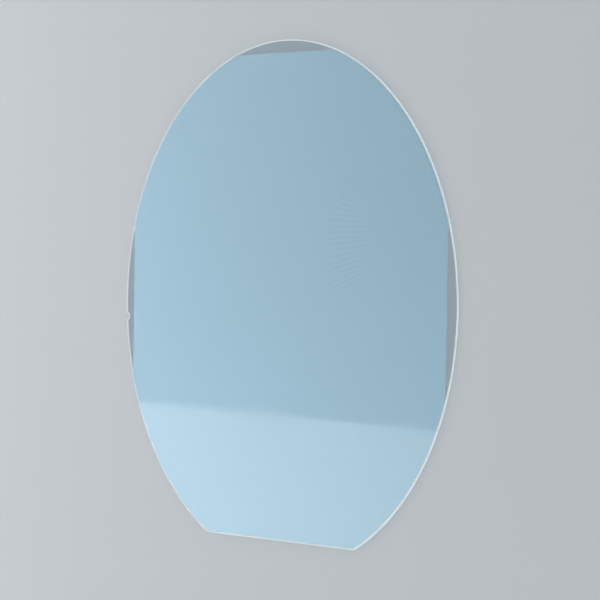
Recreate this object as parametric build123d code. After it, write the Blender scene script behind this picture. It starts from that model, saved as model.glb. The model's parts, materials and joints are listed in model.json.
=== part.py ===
from build123d import *
import os
from math import radians, sin, tan

# Glass carrier wafer: one thin round plate of clear glass, with a straight flat ground along one
# side and a small alignment notch in the rim. Lengths are in mm and angles in degrees.
#
# Frame: the origin is the disc's centre on the back face. +Z runs through the thickness to the
# front face, -Y points at the flat, and the notch is close to -X.

# Plate
wafer_radius = 100.0
thickness = 0.7

# Flat, square to the Y axis
flat_distance = 89.7  # from the disc's centre to the flat
flat_corner_radius = 0.3  # just breaks the corner between the flat and the round rim

# Notch, a V with a round bottom and eased mouth corners
notch_direction = 183.9  # counter-clockwise from +X
notch_depth = 1.25  # from the full circle in to the round bottom
notch_angle = 90.0  # between the two straight sides
notch_bottom_radius = 1.1
notch_mouth_radius = 0.9

# Ground edge, the same all the way round on both faces
edge_bevel = 0.2

# How far the cutting shapes reach past the plate
cut_overrun = 5.0


def flat_cutter():
    """The area beyond the flat."""
    height = wafer_radius - flat_distance + cut_overrun
    middle = -flat_distance - height / 2
    return Pos(0, middle) * Rectangle(2 * wafer_radius, height)


def notch_cutter():
    """The V of the notch, opening outwards, with its point already rounded."""
    half_angle = radians(notch_angle / 2)
    rounding_rise = notch_bottom_radius / sin(half_angle) - notch_bottom_radius
    point_distance = wafer_radius - notch_depth - rounding_rise
    mouth_distance = wafer_radius + cut_overrun
    mouth_half_width = (mouth_distance - point_distance) * tan(half_angle)
    point = (point_distance, 0)
    wedge = make_face(
        Polyline(
            point,
            (mouth_distance, mouth_half_width),
            (mouth_distance, -mouth_half_width),
            close=True,
        )
    )
    inner_corner = wedge.vertices().sort_by(Axis.X)[0]
    return Rot(0, 0, notch_direction) * fillet(inner_corner, notch_bottom_radius)


def wafer_outline():
    """The plate seen from the front, with its corners eased."""
    disc_with_flat = Circle(wafer_radius) - flat_cutter()
    flat_corners = disc_with_flat.vertices().sort_by(Axis.Y)[:2]
    disc_with_flat = fillet(flat_corners, flat_corner_radius)

    outline = disc_with_flat - notch_cutter()
    notch_mouth = Rot(0, 0, notch_direction) * Pos(wafer_radius, 0) * Vertex(0, 0, 0)
    mouth_corners = outline.vertices().filter_by(
        lambda corner: abs(corner.center().length - wafer_radius) < edge_bevel / 10
    )
    mouth_corners = mouth_corners.sort_by_distance(notch_mouth.center())[:2]
    return fillet(mouth_corners, notch_mouth_radius)


def glass_wafer():
    """The plate, bevelled along the rim, the flat and the notch on both faces."""
    plate = extrude(wafer_outline(), thickness)
    back_edges = plate.faces().sort_by(Axis.Z)[0].edges()
    front_edges = plate.faces().sort_by(Axis.Z)[-1].edges()
    return chamfer(back_edges + front_edges, edge_bevel)


os.makedirs("parts", exist_ok=True)
export_step(glass_wafer(), "parts/glass_wafer.step")
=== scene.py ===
import json
from math import acos, cos, pi, radians, sin, tan

import bmesh
import bpy
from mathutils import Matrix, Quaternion, Vector


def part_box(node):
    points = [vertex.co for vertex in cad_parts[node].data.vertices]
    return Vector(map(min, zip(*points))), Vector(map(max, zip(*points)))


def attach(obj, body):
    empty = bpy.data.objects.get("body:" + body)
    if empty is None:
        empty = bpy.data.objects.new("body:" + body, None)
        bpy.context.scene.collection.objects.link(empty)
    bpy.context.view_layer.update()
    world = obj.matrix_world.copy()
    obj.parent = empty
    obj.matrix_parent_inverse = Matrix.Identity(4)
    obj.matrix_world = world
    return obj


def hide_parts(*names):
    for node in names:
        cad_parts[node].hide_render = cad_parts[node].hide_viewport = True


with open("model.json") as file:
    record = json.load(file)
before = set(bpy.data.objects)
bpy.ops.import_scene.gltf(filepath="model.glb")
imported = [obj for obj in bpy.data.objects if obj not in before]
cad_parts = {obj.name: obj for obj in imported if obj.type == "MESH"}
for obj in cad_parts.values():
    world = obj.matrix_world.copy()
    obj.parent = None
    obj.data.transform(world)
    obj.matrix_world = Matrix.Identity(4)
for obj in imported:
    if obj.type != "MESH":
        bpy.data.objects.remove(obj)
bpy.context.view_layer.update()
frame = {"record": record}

low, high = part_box("glass_wafer")
mounts = {mount["name"]: mount for mount in frame["record"]["mounts"]}
mm = 0.001
tiny = 1e-6      # two places closer than this are one place
level = 0.999    # a face lies level when its normal has this much z
print("frame loaded, box in mm:", [round(side / mm, 2) for side in high - low])


def editMesh():
    return bmesh.from_edit_mesh(bpy.context.object.data)


def selectWhere(kind, test):
    # selects only the faces, edges or points that a test picks, by their place or normal
    bpy.ops.mesh.select_all(action="DESELECT")
    bpy.ops.mesh.select_mode(type=kind)
    mesh = editMesh()
    for item in {"FACE": mesh.faces, "EDGE": mesh.edges, "VERT": mesh.verts}[kind]:
        item.select_set(test(item))
    mesh.select_flush_mode()
    bmesh.update_edit_mesh(bpy.context.object.data)


def cutAcross(place, normal, dropOuter=False):
    # cuts all that is selected along a plane, and can drop what lies beyond it
    bpy.ops.mesh.bisect(plane_co=place, plane_no=normal, clear_outer=dropOuter, threshold=tiny / 10)


def roundOff(kind, offset, segments):
    bpy.ops.mesh.bevel(
        offset=offset, offset_type="OFFSET", affect=kind,
        segments=segments, profile=wafer["roundness"], clamp_overlap=False,
    )


wafer = {
    "rimSegments": 1440,        # straight pieces in the full circle
    "cornerRadius": 0.3 * mm,   # where the flat runs into the rim
    "cornerSteps": 5,
    "notchAngle": radians(90),
    "notchDepth": 1.25 * mm,
    "notchBottomRadius": 1.1 * mm,
    "notchBottomSteps": 14,
    "notchMouthRadius": 0.9 * mm,
    "notchMouthSteps": 7,
    "notchSlice": 3 * mm,       # depth of the slice of the disc that the notch is cut in
    "cornerRoom": 0.6 * mm,     # rim points this close to a corner would hold back its rounding
    "bevel": 0.2 * mm,          # ground edge, both faces
    "bevelSegments": 4,
    "roundness": 0.5,           # of every rounding: 0.5 is round, 0.25 would be a flat cut
    "border": 0.25 * mm,        # flat margin of each face, frosted with the ground edge
    "borderCorners": 10,        # no piece of that margin has more corners than this
    "fieldLeft": -94.9 * mm,    # straight limits of the etched field
    "fieldRight": 94.3 * mm,
    "fieldTop": 95.1 * mm,
    "smoothAngle": radians(30),
}

rimRadius = mounts["rim"]["dims"]["r_mm"] * mm
flatPlace = mounts["edge_flat"]["pos_m"][1]
outward = Vector(mounts["notch"]["pos_m"][:2]).normalized().to_3d()  # from the centre to the notch
along = Vector((-outward.y, outward.x, 0))
notchHalf = wafer["notchAngle"] / 2
bottomRise = wafer["notchBottomRadius"] / sin(notchHalf) - wafer["notchBottomRadius"]
notchPoint = outward * (rimRadius - wafer["notchDepth"] - bottomRise)  # the V's foot before its rounding


def isBroad(normal, corners):
    # true for the two big flat faces and for what they are cut into, false for their narrow margin
    return abs(normal.z) > level and corners > wafer["borderCorners"]


def depthInNotch(place):
    # zero on the sides of the V, more inside it
    fromPoint = place - notchPoint
    return fromPoint.dot(outward) - abs(fromPoint.dot(along)) / tan(notchHalf)


def cutNotch():
    # a small slice is parted off at the rim, cut along both sides of the V, and the bite taken out
    sliceEdge = rimRadius - wafer["notchSlice"]
    bpy.ops.mesh.select_all(action="SELECT")
    cutAcross(outward * sliceEdge, outward)
    for side in (1, -1):
        selectWhere("FACE", lambda face: face.calc_center_median().dot(outward) > sliceEdge)
        cutAcross(notchPoint, along * side * cos(notchHalf) - outward * sin(notchHalf))
    selectWhere("FACE", lambda face: all(depthInNotch(corner.co) > -tiny for corner in face.verts))
    bpy.ops.mesh.delete(type="FACE")
    bpy.ops.mesh.select_all(action="SELECT")
    bpy.ops.mesh.dissolve_faces()


def roundCorners():
    places = [vert.co.copy() for vert in editMesh().verts]
    onRim = [place for place in places if abs(place.length - rimRadius) < tiny]
    mouth = [place for place in onRim if abs(depthInNotch(place)) < tiny]
    flatEnds = [place for place in places if abs(place.y - flatPlace) < tiny]
    print("  corners found:", len(mouth), "at the mouth,", len(flatEnds), "on the flat")

    room = wafer["cornerRoom"]
    every = mouth + flatEnds + [notchPoint]
    selectWhere("VERT", lambda vert: any(tiny < (vert.co - corner).length < room for corner in every))
    bpy.ops.mesh.dissolve_verts()

    roundings = [
        ([notchPoint], wafer["notchBottomRadius"], notchHalf, wafer["notchBottomSteps"]),
        (mouth, wafer["notchMouthRadius"], (pi - notchHalf) / 2, wafer["notchMouthSteps"]),
        (flatEnds, wafer["cornerRadius"], (pi - acos(-flatPlace / rimRadius)) / 2, wafer["cornerSteps"]),
    ]
    for corners, radius, halfCorner, steps in roundings:
        selectWhere("VERT", lambda vert: any((vert.co - corner).length < tiny for corner in corners))
        roundOff("VERTICES", radius / tan(halfCorner), steps)


def raisePlate():
    bpy.ops.mesh.select_all(action="SELECT")
    bpy.ops.mesh.extrude_region_move(TRANSFORM_OT_translate={"value": (0, 0, high.z)})
    bpy.ops.mesh.select_all(action="SELECT")
    bpy.ops.mesh.normals_make_consistent(inside=False)


def grindEdge():
    # the bevel, then a narrow flat margin inside it on both faces
    selectWhere("EDGE", lambda edge: abs(edge.verts[0].co.z - edge.verts[1].co.z) < tiny)
    roundOff("EDGES", wafer["bevel"], wafer["bevelSegments"])
    selectWhere("FACE", lambda face: isBroad(face.normal, len(face.verts)))
    bpy.ops.mesh.inset(thickness=wafer["border"], use_individual=True)


def markField():
    # the etched field's straight limits, on the front face only
    limits = [("fieldLeft", (1, 0, 0)), ("fieldRight", (1, 0, 0)), ("fieldTop", (0, 1, 0))]
    for name, normal in limits:
        selectWhere("FACE", lambda face: face.normal.z > level)
        cutAcross(Vector(normal) * wafer[name], normal)


def makeWafer():
    bpy.ops.object.select_all(action="DESELECT")
    bpy.ops.mesh.primitive_circle_add(vertices=wafer["rimSegments"], radius=rimRadius, fill_type="NGON")
    bpy.context.object.name = "glassWafer"
    bpy.ops.object.mode_set(mode="EDIT")
    bpy.ops.mesh.select_all(action="SELECT")
    cutAcross((0, flatPlace, 0), (0, -1, 0), dropOuter=True)
    cutNotch()
    roundCorners()
    raisePlate()
    grindEdge()
    markField()
    bpy.ops.object.mode_set(mode="OBJECT")
    bpy.ops.object.shade_smooth_by_angle(angle=wafer["smoothAngle"])
    return bpy.context.object


waferPiece = makeWafer()
print("wafer modelled:", len(waferPiece.data.polygons), "faces")


def addNode(tree, kind, place, inputs=None, **settings):
    # each input is a fixed value, or another node's output to link it to
    node = tree.nodes.new(kind)
    node.location = place
    for name, value in settings.items():
        setattr(node, name, value)
    for label, value in (inputs or {}).items():
        if isinstance(value, bpy.types.NodeSocket):
            tree.links.new(value, node.inputs[label])
        else:
            node.inputs[label].default_value = value
    return node


def addMix(tree, place, share, first, second):
    inputs = {"Fac": share, 1: first, 2: second}
    return addNode(tree, "ShaderNodeMixShader", place, inputs).outputs["Shader"]


handling = {
    "scale": 20,
    "turn": radians(28),        # the way the wipe marks run
    "stretch": (1, 0.22, 1),
    "detail": 5,
    "fineness": 0.55,
    "cleanBelow": 0.42,         # noise below this leaves the glass clean
    "wipedAbove": 0.75,
}


# faint wipe marks that both polished faces carry
def makeHandlingMarks():
    group = bpy.data.node_groups.new("handlingMarks", "ShaderNodeTree")
    for label in ("Scale", "Clean", "Wiped"):
        group.interface.new_socket(label, in_out="INPUT", socket_type="NodeSocketFloat")
    group.interface.new_socket("Roughness", in_out="OUTPUT", socket_type="NodeSocketFloat")
    given = addNode(group, "NodeGroupInput", (-900, 0))
    place = addNode(group, "ShaderNodeTexCoord", (-900, 300))
    stretch = addNode(group, "ShaderNodeMapping", (-700, 300), {
        "Vector": place.outputs["Object"],
        "Rotation": (0, 0, handling["turn"]),
        "Scale": handling["stretch"],
    })
    wipe = addNode(group, "ShaderNodeTexNoise", (-450, 300), {
        "Vector": stretch.outputs["Vector"],
        "Scale": given.outputs["Scale"],
        "Detail": handling["detail"],
        "Roughness": handling["fineness"],
    })
    spread = addNode(group, "ShaderNodeMapRange", (-200, 300), {
        "Value": wipe.outputs["Fac"],
        "From Min": handling["cleanBelow"],
        "From Max": handling["wipedAbove"],
        "To Min": given.outputs["Clean"],
        "To Max": given.outputs["Wiped"],
    })
    addNode(group, "NodeGroupOutput", (100, 0), {"Roughness": spread.outputs["Result"]})
    return group


handlingMarks = makeHandlingMarks()


def newMaterial(name):
    material = bpy.data.materials.new(name)
    material.use_nodes = True
    tree = material.node_tree
    tree.nodes.clear()
    return material, tree, addNode(tree, "ShaderNodeOutputMaterial", (1100, 0))


def letLampsThrough(tree, surface, share, out):
    # lamps and room light reach what lies under the plate, dimmed by the glass
    path = addNode(tree, "ShaderNodeLightPath", (500, 400))
    through = addNode(tree, "ShaderNodeBsdfTransparent", (500, -300), {"Color": (*share, 1)})
    for place, ray in ((700, "Is Diffuse Ray"), (900, "Is Shadow Ray")):
        surface = addMix(tree, (place, 0), path.outputs[ray], surface, through.outputs["BSDF"])
    tree.links.new(surface, out.inputs["Surface"])


def addMarks(tree, place, settings):
    inputs = {"Scale": handling["scale"], "Clean": settings["clean"], "Wiped": settings["wiped"]}
    return addNode(tree, "ShaderNodeGroup", place, inputs, node_tree=handlingMarks).outputs["Roughness"]


def addGlass(tree, place, settings, roughness):
    return addNode(tree, "ShaderNodeBsdfPrincipled", place, {
        "Base Color": (*settings["tint"], 1),
        "IOR": settings["ior"],
        "Transmission Weight": 1,
        "Roughness": roughness,
    })


clearGlass = {
    "tint": (0.86, 0.915, 0.935),
    "ior": 1.51,
    "clean": 0.015,
    "wiped": 0.06,
    "lampShare": (0.82, 0.86, 0.88),
}


def makeClearGlass():
    material, tree, out = newMaterial("clearGlass")
    glass = addGlass(tree, (200, 0), clearGlass, addMarks(tree, (-100, 0), clearGlass))
    letLampsThrough(tree, glass.outputs["BSDF"], clearGlass["lampShare"], out)
    return material


etchedField = {
    "tint": (0.78, 0.875, 0.915),
    "ior": 1.51,
    "clean": 0.02,
    "wiped": 0.07,
    "veilColor": (0.215, 0.375, 0.475),
    "veilRoughness": 0.40,
    "veilMetal": 0.5,
    "veilShare": 0.55,          # how much of the light the etched pattern scatters
    "cloudScale": 7,
    "cloudDetail": 3,
    "cloudRange": (0.3, 0.7),
    "cloudDepth": 0.02,         # how far the clouds take that share up and down
    "ripplePitch": 2 * mm,      # the grid beats against itself in a faint patch of ripples
    "rippleTwist": 9,           # ripples per metre, for each millimetre away from the level line
    "rippleDepth": 0.032,       # how far the ripples lighten and darken the veil's color
    "rippleLevel": 28 * mm,     # here the ripples lie level
    "ripplePlace": (38 * mm, 16 * mm),
    "rippleReach": (17 * mm, 50 * mm),
    "lampShare": (0.78, 0.84, 0.87),
}


def addMaths(tree, operation, *values):
    place = (160 * len(tree.nodes), 900)  # in a row above the other nodes
    inputs = dict(enumerate(values))
    return addNode(tree, "ShaderNodeMath", place, inputs, operation=operation).outputs["Value"]


def addRipple(tree, across, up):
    # a patch of fine lines, level near its top and slanted further down, that fades out all round
    placeX, placeY = etchedField["ripplePlace"]
    reachX, reachY = etchedField["rippleReach"]
    fromX = addMaths(tree, "SUBTRACT", across, placeX)
    fromY = addMaths(tree, "SUBTRACT", up, placeY)
    fromLevel = addMaths(tree, "SUBTRACT", up, etchedField["rippleLevel"])
    straight = addMaths(tree, "DIVIDE", fromLevel, etchedField["ripplePitch"])
    twist = addMaths(tree, "MULTIPLY", fromX, fromLevel)
    twist = addMaths(tree, "MULTIPLY", twist, etchedField["rippleTwist"] / mm)
    turns = addMaths(tree, "ADD", straight, twist)
    wave = addMaths(tree, "SINE", addMaths(tree, "MULTIPLY", turns, 2 * pi))
    awayX = addMaths(tree, "POWER", addMaths(tree, "DIVIDE", fromX, reachX), 2)
    awayY = addMaths(tree, "POWER", addMaths(tree, "DIVIDE", fromY, reachY), 2)
    patch = addMaths(tree, "SUBTRACT", 1, addMaths(tree, "ADD", awayX, awayY))
    patch = addMaths(tree, "MAXIMUM", patch, 0)
    ripple = addMaths(tree, "MULTIPLY", wave, patch)
    ripple = addMaths(tree, "MULTIPLY", ripple, etchedField["rippleDepth"])
    return addMaths(tree, "ADD", ripple, 1)


def addClouds(tree, place):
    # soft clouds in how much the pattern scatters
    cloud = addNode(tree, "ShaderNodeTexNoise", (-500, 0), {
        "Vector": place.outputs["Object"],
        "Scale": etchedField["cloudScale"],
        "Detail": etchedField["cloudDetail"],
    })
    lowest, highest = etchedField["cloudRange"]
    return addNode(tree, "ShaderNodeMapRange", (-250, 0), {
        "Value": cloud.outputs["Fac"],
        "From Min": lowest,
        "From Max": highest,
        "To Min": etchedField["veilShare"] - etchedField["cloudDepth"],
        "To Max": etchedField["veilShare"] + etchedField["cloudDepth"],
    }).outputs["Result"]


def makeEtchedField():
    material, tree, out = newMaterial("etchedField")
    place = addNode(tree, "ShaderNodeTexCoord", (-1100, 0))
    axes = addNode(tree, "ShaderNodeSeparateXYZ", (-900, 0), {"Vector": place.outputs["Object"]})
    glass = addGlass(tree, (200, 300), etchedField, addMarks(tree, (-100, 300), etchedField))
    shade = addNode(tree, "ShaderNodeHueSaturation", (0, -300), {
        "Color": (*etchedField["veilColor"], 1),
        "Value": addRipple(tree, axes.outputs["X"], axes.outputs["Y"]),
    })
    veil = addNode(tree, "ShaderNodeBsdfPrincipled", (200, -300), {
        "Base Color": shade.outputs["Color"],
        "Roughness": etchedField["veilRoughness"],
        "Metallic": etchedField["veilMetal"],
    })
    share = addClouds(tree, place)
    surface = addMix(tree, (500, 100), share, glass.outputs["BSDF"], veil.outputs["BSDF"])
    letLampsThrough(tree, surface, etchedField["lampShare"], out)
    return material


groundEdge = {
    "tint": (0.93, 0.98, 0.99),
    "frostColor": (0.93, 0.97, 0.98),
    "frostShare": 0.85,
    "grainDepth": 0.2,          # how far the grain takes that share up and down
    "grainScale": 2500,
    "bumpStrength": 0.4,
    "bumpHeight": 0.02 * mm,
    "throughShare": 0.25,       # how much of the frost's light passes into the glass
    "roughness": 0.35,
    "ior": 1.51,
    "lampShare": (0.72, 0.78, 0.80),
}


def makeGroundEdge():
    material, tree, out = newMaterial("groundEdge")
    frostColor = (*groundEdge["frostColor"], 1)
    place = addNode(tree, "ShaderNodeTexCoord", (-900, 0))
    grain = addNode(tree, "ShaderNodeTexNoise", (-500, 0), {
        "Vector": place.outputs["Object"],
        "Scale": groundEdge["grainScale"],
    })
    share = addNode(tree, "ShaderNodeMapRange", (-250, 0), {
        "Value": grain.outputs["Fac"],
        "To Min": groundEdge["frostShare"] - groundEdge["grainDepth"],
        "To Max": groundEdge["frostShare"] + groundEdge["grainDepth"],
    })
    bump = addNode(tree, "ShaderNodeBump", (-50, -500), {
        "Height": grain.outputs["Fac"],
        "Strength": groundEdge["bumpStrength"],
        "Distance": groundEdge["bumpHeight"],
    })
    glass = addGlass(tree, (200, 300), groundEdge, groundEdge["roughness"])
    tree.links.new(bump.outputs["Normal"], glass.inputs["Normal"])
    frost = addNode(tree, "ShaderNodeBsdfPrincipled", (200, -300), {
        "Base Color": frostColor,
        "Roughness": groundEdge["roughness"],
        "Normal": bump.outputs["Normal"],
    })
    passing = addNode(tree, "ShaderNodeBsdfTranslucent", (200, -700), {"Color": frostColor})
    through = groundEdge["throughShare"]
    ground = addMix(tree, (400, -400), through, frost.outputs["BSDF"], passing.outputs["BSDF"])
    surface = addMix(tree, (500, 100), share.outputs["Result"], glass.outputs["BSDF"], ground)
    letLampsThrough(tree, surface, groundEdge["lampShare"], out)
    return material


def giveFinishes(piece):
    piece.data.materials.clear()
    for material in (makeClearGlass(), makeEtchedField(), makeGroundEdge()):
        piece.data.materials.append(material)
    clear, field, edge = range(3)  # their places in that list
    for face in piece.data.polygons:
        polished = isBroad(face.normal, len(face.vertices))
        inField = (
            face.normal.z > 0
            and wafer["fieldLeft"] < face.center.x < wafer["fieldRight"]
            and face.center.y < wafer["fieldTop"]
        )
        face.material_index = edge if not polished else field if inField else clear


giveFinishes(waferPiece)
print("materials made")

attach(waferPiece, "root")
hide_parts("glass_wafer")


studio = {
    "floorColor": (0.56, 0.60, 0.63),
    "floorRoughness": 0.75,
    "floorSize": 12,
    "floorDrop": 0.05 * mm,     # keeps the floor clear of the plate's back face
    "worldColor": (0.94, 0.97, 1.0),
    "worldStrength": 0.24,
}


def makeFloor():
    bpy.ops.object.select_all(action="DESELECT")
    bpy.ops.mesh.primitive_plane_add(size=studio["floorSize"], location=(0, 0, -studio["floorDrop"]))
    floor = bpy.context.object
    floor.name = "floor"
    bpy.ops.object.transform_apply(location=True)
    material, tree, out = newMaterial("floorPaint")
    paint = addNode(tree, "ShaderNodeBsdfPrincipled", (200, 0), {
        "Base Color": (*studio["floorColor"], 1),
        "Roughness": studio["floorRoughness"],
    })
    tree.links.new(paint.outputs["BSDF"], out.inputs["Surface"])
    floor.data.materials.append(material)


makeFloor()

world = bpy.data.worlds.new("studioWorld")
bpy.context.scene.world = world
world.use_nodes = True
background = world.node_tree.nodes["Background"]
background.inputs["Color"].default_value = (*studio["worldColor"], 1)
background.inputs["Strength"].default_value = studio["worldStrength"]

usualLamp = {"aim": (0, 0, 0), "roll": 0, "color": (1.0, 1.0, 1.0), "onFloor": True, "mirrored": True}
lowPanel = {"size": (0.9, 0.24), "mirrored": False}
coolColor = (0.97, 0.985, 1.0)
lamps = {
    "keyPanel": {
        "place": (-0.4, 0.5, 1.8), "size": (1.2, 1.2), "watts": 10, "color": (1.0, 0.98, 0.96),
    },
    # four low panels pick out the ground edge all the way round, and don't mirror in the faces
    "leftPanel": {**lowPanel, "place": (-1.0, 0.05, 0.19), "watts": 9, "color": coolColor},
    "rightPanel": {**lowPanel, "place": (1.0, -0.05, 0.19), "watts": 3.4},
    "topPanel": {**lowPanel, "place": (0.1, 1.0, 0.19), "watts": 3.8},
    "bottomPanel": {**lowPanel, "place": (0.1, -1.0, 0.19), "watts": 7},
    # a glow on the etched pattern that fades from left to right
    "fieldPanel": {
        "place": (-1.2, 0.16, 0.62), "aim": (0, 0.02, 0), "size": (1.2, 0.2),
        "watts": 7, "color": coolColor, "onFloor": False,
    },
    # mirrored in the part of the plate nearest the flat
    "glossPanel": {
        "place": (-1.5, -0.50, 1.22), "aim": (0, -0.05, 0), "roll": -15.4, "size": (0.72, 1.2),
        "watts": 7.5, "color": coolColor, "onFloor": False,
    },
}


def addLamp(name, settings):
    data = bpy.data.lights.new(name, "AREA")
    data.shape = "RECTANGLE"
    data.size, data.size_y = settings["size"]
    data.energy = settings["watts"]
    data.color = settings["color"]
    lamp = bpy.data.objects.new(name, data)
    bpy.context.scene.collection.objects.link(lamp)
    lamp.location = settings["place"]
    towards = Vector(settings["aim"]) - Vector(settings["place"])
    turn = towards.to_track_quat("-Z", "Y") @ Quaternion((0, 0, 1), radians(settings["roll"]))
    lamp.rotation_euler = turn.to_euler()
    lamp.visible_diffuse = settings["onFloor"]
    lamp.visible_glossy = settings["mirrored"]


for name, settings in lamps.items():
    addLamp(name, {**usualLamp, **settings})
print("floor and lamps placed")

camera = {
    "place": (0.94661, 0.02059, 0.75542),
    "turn": (0.0439, 51.1104, 1.2060),    # degrees
    "lens": 192.03,
    "sensor": 36,
}
cameraData = bpy.data.cameras.new("camera")
cameraData.sensor_width = camera["sensor"]
cameraData.lens = camera["lens"]
cameraPiece = bpy.data.objects.new("camera", cameraData)
bpy.context.scene.collection.objects.link(cameraPiece)
cameraPiece.location = camera["place"]
cameraPiece.rotation_euler = [radians(angle) for angle in camera["turn"]]
bpy.context.scene.camera = cameraPiece
bpy.context.scene.view_settings.view_transform = "Standard"
print("camera set")
